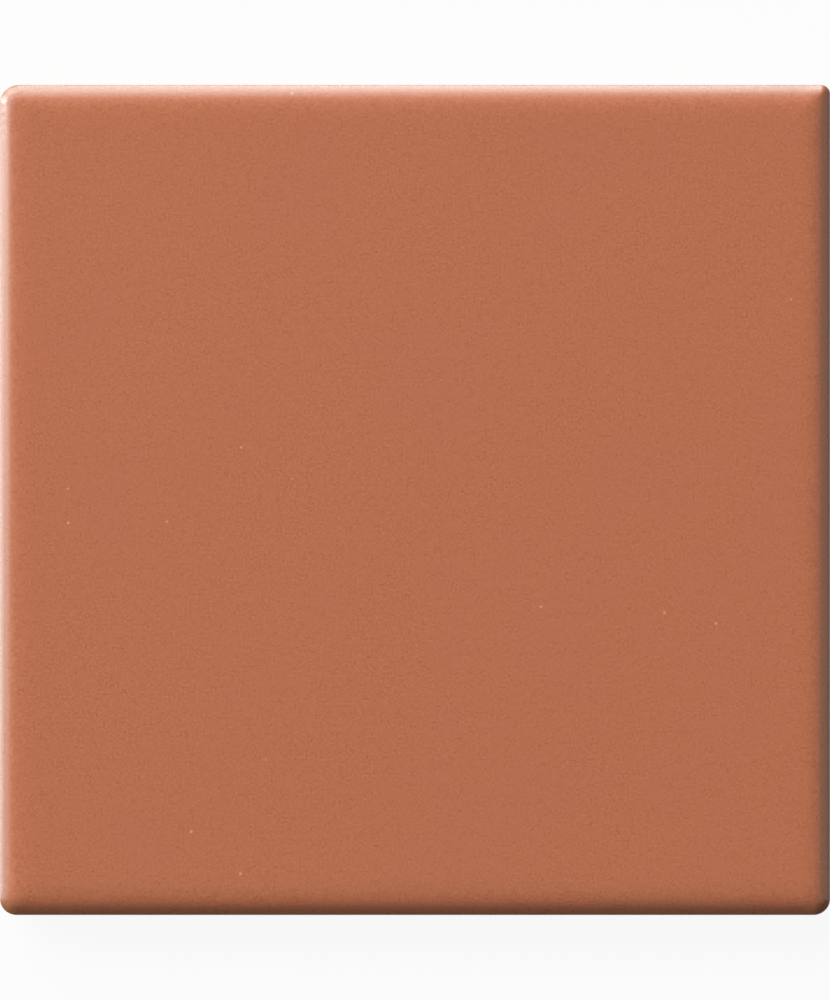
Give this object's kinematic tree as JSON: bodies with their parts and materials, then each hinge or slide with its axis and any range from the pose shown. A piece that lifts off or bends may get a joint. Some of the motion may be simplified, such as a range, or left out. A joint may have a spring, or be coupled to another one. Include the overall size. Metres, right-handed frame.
{
  "type": "square tile",
  "caption": "Square glazed ceramic tile with a flat face, cushion edges, rounded corners and a ribbed back that is bonded to a wall or floor.",
  "frame": {"origin": "centre of the back, on the plane of the ribs that the tile is bonded on", "axes": "+Z out of the glazed face, X and Y along the sides"},
  "size_m": [0.1, 0.1, 0.007],
  "materials": {
    "terracotta_glaze": "satin"
  },
  "bodies": {
    "root": {"square_tile": "terracotta_glaze"}
  },
  "joints": []
}
